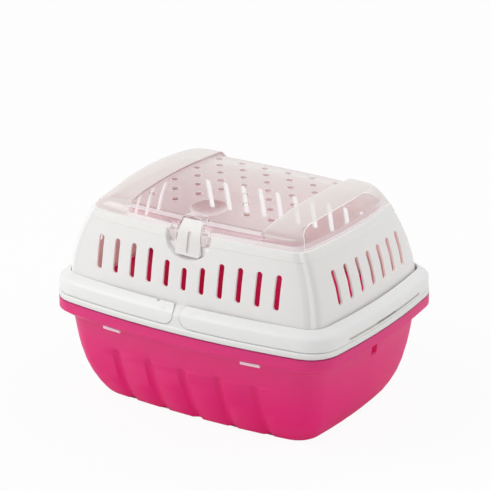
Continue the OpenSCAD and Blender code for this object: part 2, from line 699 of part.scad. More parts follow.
module lid() {
    color([0.88, 0.8, 0.82, 0.5])
    translate([0, 0, tub_height]) {
        difference() {
            union() {
                difference() {
                    lid_form(0);
                    panel_space(0);
                    difference() {
                        lid_form(lid_wall);
                        panel_space(lid_wall);
                    }
                }
                at_scoop() intersection() {
                    translate([0, 0, scoop_ball - scoop_depth]) sphere(r = scoop_ball + lid_wall, $fn = 64);
                    translate([0, 0, -scoop_depth - 5]) cylinder(r = scoop_r + 1, h = scoop_depth + 4.2);
                }
                translate([0, -seat_front + 5.9, 0]) upright(seat_front - 5.9 + cut_back + 2)
                    arch_face(latch_half + 2.3, arch_rise, hood_height + 0.6);
            }
            air_holes();
            window_recesses();
            at_scoop() translate([0, 0, scoop_ball - scoop_depth]) sphere(r = scoop_ball, $fn = 64);
            translate([0, -far, 0]) upright(far + cut_back)
                arch_face(latch_half + side_gap, arch_rise - 1.8, hood_height - 3);
        }
        latch_ears();
        for (s = [0, 1]) mirror([s, 0, 0]) knuckle();
    }
}

// The latch's front face from the side, from its lower end up, as [y, height] from its pivot
latch_foot = [[-1, -1], [-0.9, -0.92], [-0.72, -0.64], [-0.6, -0.33], [-0.41, -0.02]];
latch_head = [[0.03, 0.48], [0.3, 0.69], [0.65, 0.99]];
latch_line = concat([for (v = latch_foot) [v.x * latch_out, v.y * latch_reach]],
                    [for (v = latch_head) [v.x * latch_out, v.y * latch_rise]]);
catch_reach = 0.7;
nose_drop = catch_h - latch_h - side_gap - 0.4;
groove_width = 2.2;
groove_depth = 0.8;
latch_low = -latch_reach + 1.6;
// The space from the front face of the latch to d behind it, seen from the side
module latch_layer(d) {
    line = shifted(latch_line, d);
    polygon(concat(latch_line, [for (i = [len(line) - 1:-1:0]) line[i]]));
}
module latch_side() {
    tip = pocket_low_y - catch_reach - side_gap / 2 - 0.1 - latch_y;
    back = shifted(latch_line, latch_wall);
    latch_layer(latch_wall);
    // The nose below the catch
    polygon([[back[1].x - 1, latch_low], [tip - 0.5, latch_low], [tip, latch_low + 0.6],
             [tip, nose_drop], [back[2].x - 1, nose_drop + 0.6]]);
    // The boss round the pins stays behind the front face
    difference() {
        circle(r = latch_pin / 2 + 1.1);
        latch_layer(-latch_wall);
    }
}
module latch_tab() {
    color([0.95, 0.95, 0.94])
    translate([0, latch_y, tub_height + latch_h]) {
        difference() {
            intersection() {
                translate([-latch_width, 0, 0]) sideways(2 * latch_width) latch_side();
                translate([0, -latch_width, 0]) upright(2 * latch_width) latch_face();
            }
            // The groove down the middle follows the front face
            translate([-groove_width / 2, 0, 0]) sideways(groove_width) intersection() {
                latch_layer(groove_depth);
                translate([-latch_width, latch_low + 0.4]) square([2 * latch_width, latch_reach]);
            }
        }
        translate([-latch_half - 4, 0, 0]) rotate([0, 90, 0])
            cylinder(d = latch_pin, h = latch_width + 8);
    }
}
// One side of the latch, seen from the front, is mirrored to the other
module latch_face() {
    top_half = latch_top_width / 2;
    for (s = [0, 1]) mirror([s, 0]) {
        polygon([[0, latch_rise], [top_half - 2.6, latch_rise], [top_half - 0.7, latch_rise - 0.9],
                 [top_half, latch_rise - 2.8], [latch_half - 0.5, -0.44 * latch_reach],
                 [latch_half, 2 - latch_reach], [latch_half - 1, -latch_reach - 0.1],
                 [0, -latch_reach - 0.1]]);
    }
}

// ---- Handles ----
handle_top = flange + handle_height + 0.6;
handle_low = flange + 0.6;
handle_corner = rim_corner - 1.5;
wall_in = handle_wall + 0.4;
// The channel section of the handles: [in from the end of the rim, in from its side, height, corner radius]
handle_section = [for (v = [
        [0.4, 0.2, handle_low], [0.4, 0.2, handle_top - 7.8], [1.1, 0.9, handle_top - 6],
        [2.6, 2.3, handle_top - 4.6], [9.1, 7.1, handle_top - 0.6], [10.4, 8.1, handle_top],
        [10.5, 8.2, handle_top - 3], [wall_in + 6.1, 6.6, handle_top - 3],
        [wall_in + 1.1, 3.5, handle_top - 6.6], [wall_in, handle_wall + 0.2, handle_top - 8.4],
        [wall_in, handle_wall + 0.2, handle_low]])
    [v[0], handle_out + v[1], v[2], handle_corner + 0.4 - 0.88 * v[0]]];
// The same section filled in, for the bosses and ribs
solid_section = concat(
    [for (i = [0:5]) handle_section[i] +
        (i == 0 ? [1, 1, 0, -1] : i == 5 ? [0, 0, -0.6, 0] : [0.6, 0.6, -0.5, -0.6])],
    [handle_section[6] + [0, 0, -10, 0]]);

// A section carried round the right-hand end, from the middle of the front to the middle of the back
module round_end(section) {
    rows = [for (v = section)
        let (b = rim_b - v[1], q = outline([rim_a - v[0], b, b, long_bow * 0.98, end_bow * 0.96, v[3]]))
        [for (i = [0:len(q) / 2]) [q[i].x, q[i].y, v[2]]]];
    m = len(section);
    n = len(rows[0]);
    // One face follows the section at each place along the way
    polyhedron([for (i = [0:n - 1]) for (k = [m - 1:-1:0]) rows[k][i]],
        concat(side_faces(m, n, false), [[for (i = [0:m - 1]) i]],
               [[for (i = [m - 1:-1:0]) (n - 1) * m + i]]),
        convexity = 8);
}

rib = 1.8;
module arm_ribs() {
    for (my = [0, 1]) mirror([0, my, 0]) {
        // Solid boss round each pivot
        translate([pivot_x, -pin_tip - handle_wall - 2, pivot_h]) rotate([-90, 0, 0])
            cylinder(r = pin_diameter / 2 + 4, h = 3 * handle_wall + 6);
        for (x = [1, 2, 3]) translate([pivot_x + x * 26, -rim_b, 0])
            cube([rib, rim_b / 3, flange + handle_height]);
    }
    for (y = [-2, -1, 1, 2]) translate([rim_a - 2 * end_shelf, y * 34 - rib / 2, 0])
        cube([2 * end_shelf, rib, flange + handle_height]);
}
module grip_cuts() {
    low = handle_low + 1.8;
    high = low + 2.3;
    // A shallow groove along the foot of the grip, open in its middle
    intersection() {
        round_end([for (v = [[-1, low], [-1, high], [1.6, high], [1.6, low]])
            [v[0], handle_out + v[0], v[1], handle_corner - 1]]);
        translate([0, -grip_groove / 2, 0]) cube([far, grip_groove, flange + handle_height]);
    }
    translate([rim_a - 6, -grip_window / 2, low]) cube([far, grip_window, high - low]);
    // A small notch in the back arm's top edge
    translate([pivot_x + 7.5, rim_b - handle_out - 10.4, handle_top - 1.6]) cube([2.6, 4, 4]);
}
// The handle on the right, lying on the flange
module handle() {
    color([0.94, 0.94, 0.93])
    translate([0, 0, tub_height]) {
        difference() {
            intersection() {
                union() {
                    round_end(handle_section);
                    intersection() {
                        round_end(solid_section);
                        arm_ribs();
                    }
                }
                // Both arms end round the pivot
                union() {
                    translate([pivot_x, -rim_width, 0]) cube([far, 2 * rim_width, 2 * handle_top]);
                    turned_end();
                }
            }
            for (my = [0, 1]) mirror([0, my, 0])
                translate([pivot_x, 0, pivot_h])
                    turned(pin_diameter / 2 + pin_gap, -pin_tip - 0.4, -foot_bb / 2);
            grip_cuts();
        }
    }
}
module turned_end() {
    translate([pivot_x, 0, pivot_h]) turned(handle_end_r, -rim_width, rim_width);
}
module handle_right() {
    handle();
}
module handle_left() {
    rotate([0, 0, 180]) handle();
}

base_tub();
hood();
lid();
latch_tab();
handle_left();
handle_right();
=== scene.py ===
# %% [markdown]
# # A small-animal carrier in coloured and clear plastic
# The carrier has six moulded pieces: a pink tub, a white vented hood, a clear roof, a latch and two
# folding handles. A CAD program has already made them as exact solids. Here they get their looks:
# smooth skins, plastics that behave like plastic, a table to stand on and studio light. The first
# lines load the solids. Each one belongs to a body named in model.json, and nothing here moves or
# resizes it.

# %% Load the pieces
import json
import math

import bpy
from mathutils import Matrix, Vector


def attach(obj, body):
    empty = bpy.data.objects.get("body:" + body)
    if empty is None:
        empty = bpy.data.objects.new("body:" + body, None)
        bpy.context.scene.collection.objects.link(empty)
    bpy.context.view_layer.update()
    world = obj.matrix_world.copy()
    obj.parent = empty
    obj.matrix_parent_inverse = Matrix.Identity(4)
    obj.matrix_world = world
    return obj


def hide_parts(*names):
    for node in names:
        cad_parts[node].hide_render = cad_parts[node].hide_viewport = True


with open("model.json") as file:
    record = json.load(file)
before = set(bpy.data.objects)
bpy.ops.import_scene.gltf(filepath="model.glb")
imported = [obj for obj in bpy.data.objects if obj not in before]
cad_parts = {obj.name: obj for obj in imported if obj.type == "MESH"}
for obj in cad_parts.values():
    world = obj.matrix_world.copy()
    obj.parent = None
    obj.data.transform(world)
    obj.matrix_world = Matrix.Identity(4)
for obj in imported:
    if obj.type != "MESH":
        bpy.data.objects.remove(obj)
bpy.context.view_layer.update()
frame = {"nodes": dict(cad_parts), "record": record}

print("solids:", sorted(frame["nodes"]))

# %% [markdown]
# ## The camera
# A long lens far away keeps the carrier's upright edges nearly parallel, so its proportions read
# truly. A camera can be aimed at a target object, but here it is set by where it stands and by two
# angles: the azimuth says how far round the right-hand side it stands, and the elevation how
# steeply it looks down. Numbers are exact and easy to change. It comes first so that every later
# step can be checked from the same place.

# %% Camera
AZIMUTH, ELEVATION = math.radians(32.324), math.radians(21.157)
CAMERA_STAND = Vector((1.1497, -1.8150, 0.9732))
SENSOR_MM, LENS_MM = 36.0, 187.0
CARRIER_MIDDLE = Vector((0.0, 0.0, 0.1))

towards_camera = Vector((
    math.sin(AZIMUTH) * math.cos(ELEVATION),
    -math.cos(AZIMUTH) * math.cos(ELEVATION),
    math.sin(ELEVATION),
))
camera_data = bpy.data.cameras.new("camera")
camera_data.sensor_width = SENSOR_MM
camera_data.lens = LENS_MM
camera = bpy.data.objects.new("camera", camera_data)
camera.location = CAMERA_STAND
camera.rotation_euler = (-towards_camera).to_track_quat("-Z", "Y").to_euler()
bpy.context.scene.collection.objects.link(camera)
bpy.context.scene.camera = camera
print("camera", round((CAMERA_STAND - CARRIER_MIDDLE).length, 3), "m from the middle of the carrier")

# %% [markdown]
# ## From a solid to a finished moulding
# The solids arrive as loose triangles, and on many curved walls their facets show. A real moulding
# is one smooth skin. The walls could be modelled again with more faces, but then they would no
# longer fit the solids. So each solid is copied instead. The copy's triangles are joined along
# their shared points, and nearly flat areas are merged into whole faces. That moves the surface
# by a few hundredths of a millimetre, and by a quarter of one at most, on the roof. Smooth shading
# then hides the facets, and only edges sharper than a set angle stay crisp. The moulding can so
# stand in its solid's place. It rides on the same body.

# %% A helper that turns a solid into a moulding
SAME_POINT = 2e-6  # metres
SAME_PLANE = 0.4  # degrees

body_of_node = {n: b for b, nodes in frame["record"]["behaviour"]["bodies"].items() for n in nodes}
print("body of each solid:", body_of_node)


def moulding(node, name, crisp=38):
    """A smooth copy of a solid. Edges sharper than crisp degrees stay crisp."""
    solid = frame["nodes"][node]
    piece = solid.copy()
    piece.data = solid.data.copy()
    piece.name = piece.data.name = name
    for key in list(piece.keys()):
        del piece[key]
    bpy.context.scene.collection.objects.link(piece)
    piece.parent = None
    bpy.ops.object.select_all(action="DESELECT")
    piece.select_set(True)
    bpy.context.view_layer.objects.active = piece
    bpy.ops.object.mode_set(mode="EDIT")
    bpy.ops.mesh.select_all(action="SELECT")
    bpy.ops.mesh.customdata_custom_splitnormals_clear()
    bpy.ops.mesh.remove_doubles(threshold=SAME_POINT)
    bpy.ops.mesh.dissolve_limited(angle_limit=math.radians(SAME_PLANE))
    bpy.ops.object.mode_set(mode="OBJECT")
    bpy.ops.object.shade_smooth_by_angle(angle=math.radians(crisp))
    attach(piece, body_of_node[node])
    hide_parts(node)
    print(name, "has", len(piece.data.polygons), "faces")
    return piece


# %% [markdown]
# ## The six mouldings
# Each piece of the carrier is now made with that helper. The roof's front steps, its finger scoop
# and its end windows turn by small angles, which the usual limit would smooth away. So the roof's
# edges count as crisp from a smaller angle on.

# %% Make the six mouldings
tub = moulding("base_tub", "tub_shell")
hood = moulding("hood", "vented_hood")
roof = moulding("lid", "clear_roof", crisp=18)
latch = moulding("latch_tab", "rocker_latch")
left_handle = moulding("handle_left", "left_handle")
right_handle = moulding("handle_right", "right_handle")

# %% [markdown]
# ## Writing materials as sums
# A material is a graph of small boxes. Wiring them by hand is slow to read, so a small class lets
# the graph be written as arithmetic: adding or multiplying two values adds the Math node that
# does it. Any other box comes from one function that takes its type, its settings and its inputs.
# Most of the tones below lie in a zone of the piece, so a value can also be asked how far it has
# come between two limits. A product of such steps is a zone with soft edges.

# %% Values that add up
class Value:
    """A socket that can be added, subtracted, multiplied and compared like a number."""

    def __init__(self, tree, socket):
        self.tree, self.socket = tree, socket

    def _math(self, operation, *numbers):
        inputs = {f"i{n}": number for n, number in enumerate(numbers)}
        return box(self.tree, "ShaderNodeMath", {"operation": operation}, **inputs)

    def __add__(self, other):
        return self._math("ADD", self, other)

    def __radd__(self, other):
        return self._math("ADD", other, self)

    def __sub__(self, other):
        return self._math("SUBTRACT", self, other)

    def __rsub__(self, other):
        return self._math("SUBTRACT", other, self)

    def __mul__(self, other):
        return self._math("MULTIPLY", self, other)

    def __rmul__(self, other):
        return self._math("MULTIPLY", other, self)

    def __abs__(self):
        return self._math("ABSOLUTE", self)

    def larger(self, other):
        return self._math("MAXIMUM", self, other)

    def smaller(self, other):
        return self._math("MINIMUM", self, other)

    def step(self, low, high):
        """0 below low, 1 above high and smooth between."""
        return box(self.tree, "ShaderNodeMapRange", {"interpolation_type": "SMOOTHSTEP"},
                   Value=self, From_Min=low, From_Max=high)

    def until(self, low, high):
        """1 below low, 0 above high and smooth between."""
        return 1.0 - self.step(low, high)

    def band(self, low, full, fading, high):
        """1 from full to fading, 0 below low and above high, and smooth between."""
        return self.step(low, full) * self.until(fading, high)


def feed(socket, value):
    """Links a Value to an input, or sets the input to a plain number or colour."""
    if isinstance(value, Value):
        value.tree.links.new(value.socket, socket)
    else:
        socket.default_value = value


def box(tree, kind, settings=None, out=0, **inputs):
    """Any node, by its type, its settings and its inputs.

    An input goes by its name, with _ for a space, or by its place as i0, i1 and so on. Returns
    the output named or numbered by out, or the node itself if it has no outputs.
    """
    node = tree.nodes.new(kind)
    for key, value in (settings or {}).items():
        setattr(node, key, value)
    for key, value in inputs.items():
        by_place = key[0] == "i" and key[1:].isdigit()
        feed(node.inputs[int(key[1:]) if by_place else key.replace("_", " ")], value)
    return Value(tree, node.outputs[out]) if node.outputs else node


# %% [markdown]
# ## The skin of moulded plastic
# A mould is never perfectly polished. Its skin has a very fine ripple, like the skin of an orange,
# and handling leaves faint rubbed patches that are a little duller. Both could be painted as
# pictures, but noise measured in metres needs no picture and keeps its real size on every piece.
# The ripple goes into the bump and the patches into the roughness.

# %% Skin: ripple and rubbed patches
RIPPLES_PER_METRE, PATCHES_PER_METRE = 900.0, 28.0
RIPPLE_STRENGTH = 0.35


def place(tree):
    """The point on the piece, in metres, and its x, y and z."""
    point = box(tree, "ShaderNodeTexCoord", out="Object")
    split = box(tree, "ShaderNodeSeparateXYZ", i0=point).socket.node
    return point, *(Value(tree, part) for part in split.outputs)


def skin(tree, shader, rough, ripple=0.00002, patches=0.06):
    """Gives the shader its skin. Returns x, y and z and the cloud of rubbed patches."""
    point, x, y, z = place(tree)
    grain = box(tree, "ShaderNodeTexNoise", Vector=point, Scale=RIPPLES_PER_METRE, Detail=2.0, Roughness=0.5)
    cloud = box(tree, "ShaderNodeTexNoise", Vector=point, Scale=PATCHES_PER_METRE, Detail=4.0, Roughness=0.6)
    bump = box(tree, "ShaderNodeBump", Strength=RIPPLE_STRENGTH, Distance=ripple, Height=grain)
    feed(shader.inputs["Normal"], bump)
    feed(shader.inputs["Roughness"], rough - patches / 2 + cloud * patches)
    return x, y, z, cloud


print("ripples are about", round(1000 / RIPPLES_PER_METRE, 1), "mm apart")
print("patches are about", round(1000 / PATCHES_PER_METRE), "mm apart")

# %% [markdown]
# ## Words for plastics
# Every plastic here is a Principled shader, the one that covers most real surfaces. Three things are
# said of each: the numbers that are the same all over, which are set on the shader itself, the
# colours that change over it, and the piece that wears it. A short helper stands for each of them.

# %% Helpers for plastics
def plastic(name):
    """A new material and its tree, Principled node and output."""
    material = bpy.data.materials.new(name)
    material.use_nodes = True
    tree = material.node_tree
    tree.nodes.clear()
    surface = box(tree, "ShaderNodeBsdfPrincipled")
    out = box(tree, "ShaderNodeOutputMaterial", Surface=surface)
    return material, tree, surface.socket.node, out


def all_over(shader, **numbers):
    """Sets what is the same all over the surface, on the shader's own sockets."""
    for name, number in numbers.items():
        shader.inputs[name.replace("_", " ")].default_value = number


def blend(share, a, b):
    """Colour a where share is 0 and b where it is 1."""
    return box(share.tree, "ShaderNodeMix", {"data_type": "RGBA"}, out=2, i0=share, i6=a, i7=b)


def wear(piece, material):
    """Gives the whole piece one material."""
    piece.data.materials.clear()
    piece.data.materials.append(material)
    for face in piece.data.polygons:
        face.material_index = 0
    print(piece.name, "wears", material.name, "with", len(material.node_tree.nodes), "nodes")


# %% [markdown]
# ## The pink tub
# The tub is polypropylene dyed right through. It is slightly translucent, so a little light is let
# under the surface, where red travels furthest. The thin upper wall looks lighter than the thick
# foot. That could be left to the light under the surface alone, but it is slow to render and hard
# to steer, so this light is painted: the pink itself is made lighter towards the rim. Polypropylene
# mirrors less than glossier plastics, so its specular level is low and the colour stays deep. Right
# under the hood's flange, the top of the tub is painted dark, as a painted shadow in the seam.

# %% Pink plastic
FOOT_PINK, RIM_PINK = (0.86, 0.008, 0.200, 1), (0.80, 0.045, 0.220, 1)
CLOUD_PINK, SEAM_SHADOW_PINK = (0.84, 0.08, 0.27, 1), (0.42, 0.014, 0.12, 1)
LIGHTER_FROM_TO = (0.015, 0.085)  # heights between which the painted light makes the pink lighter
SEAM_SHADOW_FROM_TO = (0.0955, 0.0960)  # heights between which the painted shadow of the seam begins

tub_pink, tree, shader, out = plastic("tub_pink")
x, y, z, cloud = skin(tree, shader, rough=0.38)
# Painted light: the pink grows lighter towards the rim, for the light that gets through the thin wall.
pink = blend(z.step(*LIGHTER_FROM_TO), FOOT_PINK, RIM_PINK)
pink = blend(cloud * 0.10, pink, CLOUD_PINK)
# Painted shadow: a thin dark line at the top of the tub, in the seam under the hood's flange.
pink = blend(z.step(*SEAM_SHADOW_FROM_TO), pink, SEAM_SHADOW_PINK)
feed(shader.inputs["Base Color"], pink)
all_over(shader, Subsurface_Weight=0.50, Subsurface_Radius=(0.006, 0.0010, 0.0022), Subsurface_Scale=1.0,
         Specular_IOR_Level=0.22)
wear(tub, tub_pink)

# %% [markdown]
# ## White plastic
# The hood, the handles and the latch are all white, and a little light gets under their surface
# too. They come from different moulds, so each has its own polish and its own shade of white, and
# each has tones of its own in its grooves and corners. One material for all would be shorter, but the
# zones of one piece would then show on the others. So one helper makes the white, and a small
# function for each piece adds that piece's own tones.

# %% A helper for white plastics
WHITE_CLOUD = 0.25  # the most that the cloud changes the white
WHITE_SPECULAR = 0.4


def white(name, colour, cloud_colour, rough, through, reach, tones):
    """A white plastic. Light gets reach metres into it, and tones adds the piece's own tones."""
    material, tree, shader, out = plastic(name)
    x, y, z, cloud = skin(tree, shader, rough)
    surface = tones(x, y, z, blend(cloud * WHITE_CLOUD, colour, cloud_colour))
    feed(shader.inputs["Base Color"], surface)
    all_over(shader, Subsurface_Weight=through, Subsurface_Radius=(reach, 0.85 * reach, 0.85 * reach),
             Subsurface_Scale=1.0, Specular_IOR_Level=WHITE_SPECULAR)
    return material


# %% [markdown]
# ## Marks on a moulding
# Some tones follow the form of a moulding more closely than limits on x, y and z can say. They
# could be separate materials on the faces, but then the skin would be made anew for each, and no
# tone could fade. A mark is one number for each face, stored on the mesh as an attribute, or one
# for each corner of each face, and then it runs smoothly from corner to corner. The material
# reads it like any other value.

# %% Helpers for marks
def mark(piece, name, domain, numbers):
    """Stores one number for each face or corner of the piece."""
    attribute = piece.data.attributes.new(name, "FLOAT", domain)
    attribute.data.foreach_set("value", numbers)
    share = sum(number > 0.5 for number in numbers)
    print(name, "is over a half on", share, "of", len(numbers), "faces or corners of", piece.name)


def mark_faces(piece, name, rule):
    """Marks each face with 1 where rule(face) holds and with 0 elsewhere."""
    mark(piece, name, "FACE", [1.0 if rule(face) else 0.0 for face in piece.data.polygons])


def mark_corners(piece, name, rule):
    """Marks each corner with rule(face, normal at the corner)."""
    numbers = [0.0] * len(piece.data.loops)
    for face in piece.data.polygons:
        for corner in face.loop_indices:
            numbers[corner] = rule(face, piece.data.corner_normals[corner].vector)
    mark(piece, name, "CORNER", numbers)


def marked(tree, name):
    """What a mark says at this point of the surface."""
    return box(tree, "ShaderNodeAttribute", {"attribute_name": name}, out="Fac")


# %% [markdown]
# ## Where the hood changes its tone
# Three things about the hood follow its form. Its lining, the inner side of the walls, is tinted
# by the light that the pink tub throws back. The pocket behind the latch is painted the palest, as
# painted light against the shade that falls into it. And each upright corner carries a painted
# highlight, a pale stripe, with painted shade to either side. The stripe is found from the corner
# normals: on the way round from the front wall to the end wall, the normal turns from y to x.

# %% Mark the hood
WALL_FOOT = 0.115  # height at which the hood's walls start
UPRIGHT = 0.8  # how level the normal of an upright wall is at least
POCKET_TOP, POCKET_DROP, POCKET_HALF = 0.1778, 0.0188, 0.0236


def is_lining(face):
    """Whether the face looks inwards, to the upright line through the carrier's middle."""
    return face.normal.dot(Vector((face.center.x, face.center.y, 0.02))) < 0


def is_pocket(face):
    """Whether the face lies in the rounded pocket behind the latch."""
    drop = max(0.0, (POCKET_TOP - face.center.z) / POCKET_DROP)
    return face.center.y < 0 and math.hypot(face.center.x / POCKET_HALF, drop) < 1


def turn_of_wall(face, normal):
    """0 on the front and back walls, 1 on the end walls, and between them round the corners."""
    level = math.hypot(normal.x, normal.y)
    outer_wall = level > UPRIGHT and face.center.z > WALL_FOOT and not is_lining(face)
    return abs(normal.x) / level if outer_wall else 0.0


mark_faces(hood, "inner", is_lining)
mark_faces(hood, "pocket", is_pocket)
mark_corners(hood, "turn", turn_of_wall)

# %% [markdown]
# ## The hood's tones
# The hood reads its three marks. Its lining is darker low down at the back, where the least light
# falls. The four clip tongues hang below the flange, in the tub's slots, and take on some of its
# pink. Light thrown from piece to piece would do part of this by itself, but slowly and with
# noise, so the colours say it.

# %% White of the hood
HOOD_WHITE, HOOD_CLOUD = (0.87, 0.87, 0.85, 1), (0.82, 0.82, 0.80, 1)
CORNER_SHADE, CORNER_HIGHLIGHT = (0.80, 0.80, 0.785, 1), (0.96, 0.96, 0.95, 1)
LINING, LOW_REAR_LINING = (0.93, 0.77, 0.73, 1), (0.66, 0.54, 0.48, 1)
POCKET_PAINTED_LIGHT, TONGUE_PINK = (0.98, 0.97, 0.96, 1), (0.97, 0.74, 0.83, 1)
SHADE_TURN, HIGHLIGHT_TURN = (0.10, 0.35, 0.85, 0.98), (0.50, 0.60, 0.70, 0.80)
TO_THE_REAR, FOOT_OF_LINING = (0.03, 0.07), (0.112, 0.126)
TONGUE_ACROSS, TONGUE_TOP = (0.0620, 0.0624, 0.0836, 0.0840), (0.0950, 0.0966)


def hood_tones(x, y, z, surface):
    tree = surface.tree
    turn = marked(tree, "turn")
    # Painted shade to either side of each upright corner, and a painted highlight along it.
    surface = blend(turn.band(*SHADE_TURN), surface, CORNER_SHADE)
    surface = blend(turn.band(*HIGHLIGHT_TURN), surface, CORNER_HIGHLIGHT)
    low_rear = y.step(*TO_THE_REAR) * z.until(*FOOT_OF_LINING)
    surface = blend(marked(tree, "inner"), surface, blend(low_rear, LINING, LOW_REAR_LINING))
    # Painted light: the pocket behind the latch is made paler, against the shade that falls in it.
    surface = blend(marked(tree, "pocket"), surface, POCKET_PAINTED_LIGHT)
    tongue = abs(x).band(*TONGUE_ACROSS) * z.until(*TONGUE_TOP)
    return blend(tongue, surface, TONGUE_PINK)


hood_white = white("hood_white", HOOD_WHITE, HOOD_CLOUD, rough=0.42, through=0.35, reach=0.005,
                   tones=hood_tones)
wear(hood, hood_white)

# %% [markdown]
# ## The handles
# The mould of the handles has a smoother polish, so they are a little brighter and glossier than the
# hood. A long shallow groove runs along the foot of each grip, and what lies deep in it is painted
# grey-brown, as painted shade. Limits on its height, length and distance from the middle are enough
# to find it. They also take in a thin line on the inner side of the grip, which shows only when a
# handle stands upright.

# %% White of the handles
HANDLE_WHITE, HANDLE_CLOUD = (0.89, 0.89, 0.88, 1), (0.86, 0.86, 0.85, 1)
GRIP_GROOVE_SHADE = (0.60, 0.54, 0.49, 1)
GRIP_GROOVE_HEIGHTS, GRIP_GROOVE_HALF = (0.1043, 0.1046, 0.1066, 0.1069), (0.0612, 0.0620)
OUT_AT_THE_GRIP = (0.130, 0.140)
GRIP_GROOVE_SHARE = 0.9


def handle_tones(x, y, z, surface):
    groove = z.band(*GRIP_GROOVE_HEIGHTS) * abs(y).until(*GRIP_GROOVE_HALF)
    # Painted shade deep in the grip's groove.
    return blend(groove * abs(x).step(*OUT_AT_THE_GRIP) * GRIP_GROOVE_SHARE, surface, GRIP_GROOVE_SHADE)


handle_white = white("handle_white", HANDLE_WHITE, HANDLE_CLOUD, rough=0.36, through=0.2, reach=0.005,
                     tones=handle_tones)
wear(left_handle, handle_white)
wear(right_handle, handle_white)

# %% [markdown]
# ## The latch
# The latch is the glossiest of the white pieces, and a touch warmer. The shallow groove down its
# middle is made a little browner than the rest. It runs from near the latch's foot to just above
# its pins, so limits on width and height are enough to find it too. They also take in the middle
# of the latch's back, which shows only when the roof is open.

# %% White of the latch
LATCH_WHITE, LATCH_CLOUD = (0.85, 0.83, 0.82, 1), (0.81, 0.79, 0.78, 1)
LATCH_GROOVE = (0.66, 0.55, 0.52, 1)
LATCH_GROOVE_HEIGHTS, LATCH_GROOVE_HALF = (0.163, 0.169, 0.1835, 0.1845), (0.0015, 0.0024)
LATCH_GROOVE_SHARE = 0.45


def latch_tones(x, y, z, surface):
    groove = abs(x).until(*LATCH_GROOVE_HALF) * z.band(*LATCH_GROOVE_HEIGHTS)
    return blend(groove * LATCH_GROOVE_SHARE, surface, LATCH_GROOVE)


latch_white = white("latch_white", LATCH_WHITE, LATCH_CLOUD, rough=0.32, through=0.3, reach=0.004,
                    tones=latch_tones)
wear(latch, latch_white)

# %% [markdown]
# ## Where the roof is frosted
# The mould of the roof is polished over the sunken panel and in a window in each end, and etched on
# the shoulders, so the plastic is clear in some places and milky in others. The change follows the
# edges of the form exactly, so it is marked on the faces. A face counts as frosted if it looks
# outwards, lies on a shoulder and is not in a window. The small ears that hold the latch are
# frosted all over. A second mark says how far each outer face leans to the back or, below 0, to
# the front, corner by corner.

# %% Mark the roof
CABIN = Vector((0.0, 0.0, 0.12))  # a point under the roof, which tells outside from inside
PANEL_HALF = 0.0696  # half the length of the sunken panel
END_START = 0.095  # where the ends of the roof begin
EAR_FRONT, EAR_TOP = -0.083, 0.1832
WINDOW = [(-0.0761, 0.1848), (-0.0723, 0.1888), (-0.0661, 0.1938), (-0.0611, 0.1960), (-0.0521, 0.1983),
          (0.0, 0.2008), (0.0402, 0.1996), (0.0462, 0.1972), (0.0532, 0.1926), (0.0622, 0.1848)]


def inside(outline, a, b):
    """Whether the point (a, b) lies inside a closed outline."""
    found = False
    for (a1, b1), (a2, b2) in zip(outline, outline[1:] + outline[:1]):
        if (b1 > b) != (b2 > b) and a < a1 + (b - b1) / (b2 - b1) * (a2 - a1):
            found = not found
    return found


def looks_out(face):
    return face.normal.dot(face.center - CABIN) > 0


def is_frosted(face):
    spot = face.center
    window = abs(spot.x) > END_START and inside(WINDOW, spot.y, spot.z)
    shoulder = looks_out(face) and abs(spot.x) > PANEL_HALF and not window
    ear = spot.y < EAR_FRONT and spot.z < EAR_TOP
    return shoulder or ear


mark_faces(roof, "frost", is_frosted)
mark_corners(roof, "lean", lambda face, normal: normal.y if looks_out(face) else 0.0)

# %% [markdown]
# ## How milky the roof is
# The roof is a thin wall of clear plastic with a faint milky, rosy tint. Glass with real refraction
# could make it, but a thin even wall hardly bends what is seen through it, and rough glass would
# blur the cabin and cost time. So the alpha says how much of the milky surface is seen and how
# much of the cabin behind it. The first step is to say how milky each zone is: a share of 0.20 all
# over, and more or less of it where the wall is frosted, thick or slanting, or where it gleams. The
# extra milk on walls slanting to the back, at the rear and on the right half of the panel is a
# painted reflection, and the lesser milk on walls slanting to the front is painted shade.

# %% Zones of the roof and their milk
MILK_ALL_OVER = 0.20

roof_clear, tree, shader, out = plastic("roof_clear")
x, y, z, cloud = skin(tree, shader, rough=0.16, ripple=0.000006, patches=0.04)
frosted, lean = marked(tree, "frost"), marked(tree, "lean")
front = y.until(-0.078, -0.074)
high = z.step(0.183, 0.198)
sill = abs(x).step(0.094, 0.097) * z.band(0.1840, 0.1850, 0.1878, 0.1890)
zones = {
    "frosted": (frosted, 0.04),
    "frosted and high up": (frosted * high, 0.44),
    # painted reflection on walls slanting to the back, painted shade on walls slanting to the front
    "slanting to the back": (lean.step(0.02, 0.30), 0.45),
    "slanting to the front": ((0.0 - lean).step(0.3, 0.55), -0.14),
    "front foot": ((1.0 - frosted) * front * z.until(0.1855, 0.1875), 0.40),
    "front riser": (front * z.band(0.1866, 0.1880, 0.1908, 0.1918), 0.14),
    "front ledge": (front * z.band(0.1912, 0.1918, 0.1924, 0.1929), 0.40),
    "left front corner": (front * (0.0 - x).step(0.062, 0.074) * z.until(0.1935, 0.1960), 0.55),
    "ears": (frosted * front * z.until(0.1825, 0.1835), 0.60),
    # painted reflections: a gleam on the right half of the panel and a paler rear
    "right half of the panel": (x.band(0.0, 0.05, 0.069, 0.071) * y.until(-0.06, 0.0), 0.14),
    "rear": (y.step(-0.02, 0.08), 0.10),
    "sill of each window": (sill * (1.0 - front) * y.until(0.040, 0.056), 0.35),
    "cloud": (cloud, 0.04),
}
milk = MILK_ALL_OVER
for share, amount in zones.values():
    milk = milk + share * amount
print("the milk of the roof has", len(zones), "zones:", ", ".join(zones))

